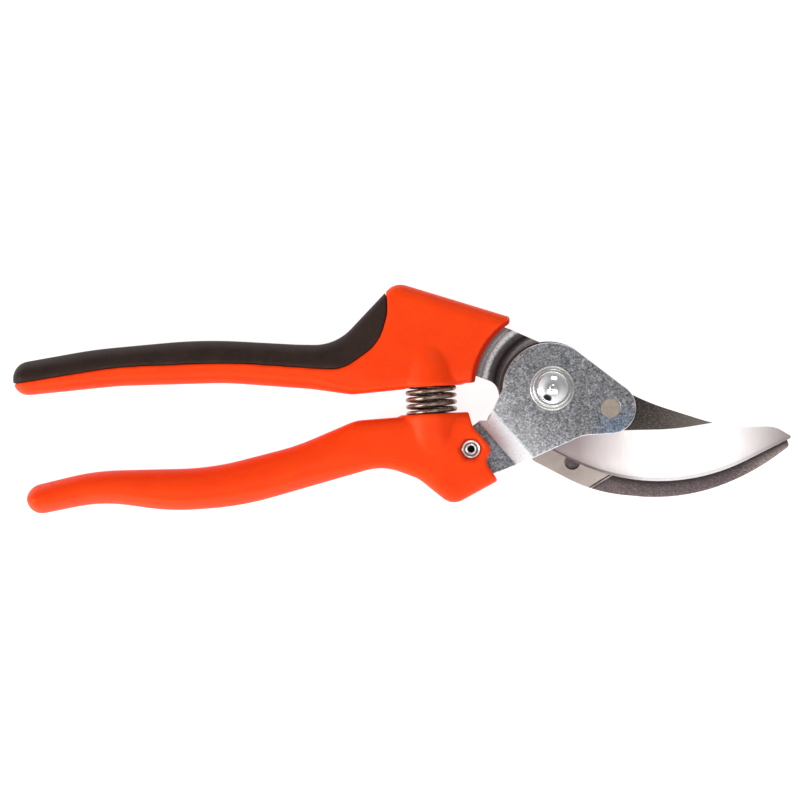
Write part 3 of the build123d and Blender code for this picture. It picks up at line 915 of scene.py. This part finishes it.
# return spring: a coil that stretches between the two handles

springShape = {
    "centre": (-31.1, -3.1, 8.5),
    "axis": (-0.05, 1.0, 0.0),
    "turns": 9,
    "pitch": 1.78,
    "coil": 6.075,
    "wire": 0.62,
    "stepsEachTurn": 40,
    "wireSides": 12,
}


def makeSpring():
    shape = springShape
    axis = Vector(shape["axis"]).normalized()
    centre = Vector(shape["centre"])
    start = centre - axis * shape["turns"] * shape["pitch"] / 2
    outward = axis.orthogonal().normalized()
    bm = bmesh.new()
    sideways = Matrix((outward, axis, outward.cross(axis))).transposed().to_4x4()
    place = Matrix.Translation((start + outward * shape["coil"]) * mm) @ sideways
    bmesh.ops.create_circle(bm, cap_ends=True, radius=shape["wire"] * mm,
                            segments=shape["wireSides"], matrix=place)
    bmesh.ops.spin(bm, geom=bm.verts[:] + bm.edges[:] + bm.faces[:], cent=start * mm, axis=axis,
                   dvec=axis * shape["pitch"] / shape["stepsEachTurn"] * mm,
                   angle=2 * math.pi * shape["turns"], steps=shape["turns"] * shape["stepsEachTurn"],
                   use_merge=False)
    bmesh.ops.recalc_face_normals(bm, faces=bm.faces)
    mesh = meshFrom(bm, "returnSpring")
    shadeSmooth(mesh)
    return linked("returnSpring", mesh)


returnSpring = makeSpring()
returnSpring.data.materials.append(metals["springSteel"])
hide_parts("return_spring")
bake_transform(returnSpring)
print("spring made")


# floor, light and camera

studio = {
    "floor": (0.4, 0.4, 0.4),
    "floorGlow": 0.86,
    "floorRough": 0.9,
    "floorSpecular": 0.1,
    "floorRadius": 3.0,
    "floorSides": 96,
    "floorHeight": -0.0004,
    "nearLeft": (-0.55, -0.83),
    "sideSpread": (-0.6, 0.6),
    "farSide": 0.40,
    "nearSide": 1.2,
    "overhead": 0.32,
    "overheadSpread": (0.75, 0.95),
    "darkTowards": (-0.32, -0.68, 0.656),
    "darkSpread": (0.945, 0.965, 1.0, 0.02),
    "aim": (-39.2, -3.1, 10.0),
    "distance": 1146.7,
    "lens": 200,
    "sensor": 36,
    "clip": (0.01, 20),
}


def makeFloor():
    bm = bmesh.new()
    bmesh.ops.create_circle(bm, cap_ends=True, radius=studio["floorRadius"],
                            segments=studio["floorSides"],
                            matrix=Matrix.Translation((0, 0, studio["floorHeight"])))
    mesh = meshFrom(bm, "studioFloor")
    if mesh.polygons[0].normal.z < 0:
        mesh.flip_normals()
    floor = linked("studioFloor", mesh)
    material, tree, shader, coords = startMaterial("paleFloor")
    put(tree, studio["floor"], shader.inputs["Base Color"])
    put(tree, studio["floorRough"], shader.inputs["Roughness"])
    put(tree, studio["floorSpecular"], shader.inputs["Specular IOR Level"])
    put(tree, (1, 1, 1), shader.inputs["Emission Color"])
    put(tree, studio["floorGlow"], shader.inputs["Emission Strength"])
    floor.data.materials.append(material)


def makeWorld():
    # brighter towards the near left, dimmer overhead and on the far side
    world = bpy.data.worlds.new("softStudio")
    bpy.context.scene.world = world
    world.use_nodes = True
    tree = world.node_tree
    direction = axisParts(tree, tree.nodes.new("ShaderNodeTexCoord").outputs["Generated"])
    towards = alongDirection(tree, direction, studio["nearLeft"])
    level = fitted(tree, towards, *studio["sideSpread"], studio["farSide"], studio["nearSide"])
    # one dark patch low on the near side, for the dome to reflect
    closeness = alongDirection(tree, direction, studio["darkTowards"])
    level = product(tree, level, fitted(tree, closeness, *studio["darkSpread"]))
    above = fitted(tree, direction["Z"], *studio["overheadSpread"])
    level = blendValues(tree, above, level, studio["overhead"])
    put(tree, level, tree.nodes["Background"].inputs["Color"])


def makeSoftbox(name, place, size, power, colour):
    lamp = bpy.data.lights.new(name, "AREA")
    lamp.shape = "RECTANGLE"
    lamp.size, lamp.size_y = size
    lamp.energy = power
    lamp.color = colour
    box = linked(name, lamp)
    box.location = place
    box.rotation_euler = (-Vector(place)).to_track_quat("-Z", "Y").to_euler()
    box.visible_camera = False


def makeCamera():
    camera = bpy.data.cameras.new("viewCamera")
    camera.lens = studio["lens"]
    camera.sensor_width = studio["sensor"]
    camera.clip_start, camera.clip_end = studio["clip"]
    viewer = linked("viewCamera", camera)
    viewer.location = (Vector(studio["aim"]) + Vector((0, 0, studio["distance"]))) * mm
    bpy.context.scene.camera = viewer
    bpy.context.scene.view_settings.view_transform = "Standard"
    bpy.context.scene.view_settings.look = "None"


# name, place in metres, size, power and colour
softboxes = [
    ("bladeSoftbox", (0.0, -0.30, 1.0), (0.8, 0.34), 1.9, (1.0, 0.97, 0.96)),
    ("leftSoftbox", (-0.85, -0.25, 0.55), (0.45, 0.6), 4.6, (1.0, 1.0, 1.0)),
    ("nearSoftbox", (-0.2, -1.0, 0.30), (1.4, 0.25), 2.6, (1.0, 1.0, 1.0)),
    ("farSoftbox", (0.15, 0.75, 0.8), (0.4, 0.25), 1.2, (1.0, 1.0, 1.0)),
]

makeFloor()
makeWorld()
for settings in softboxes:
    makeSoftbox(*settings)
makeCamera()
print("floor, light and camera made")
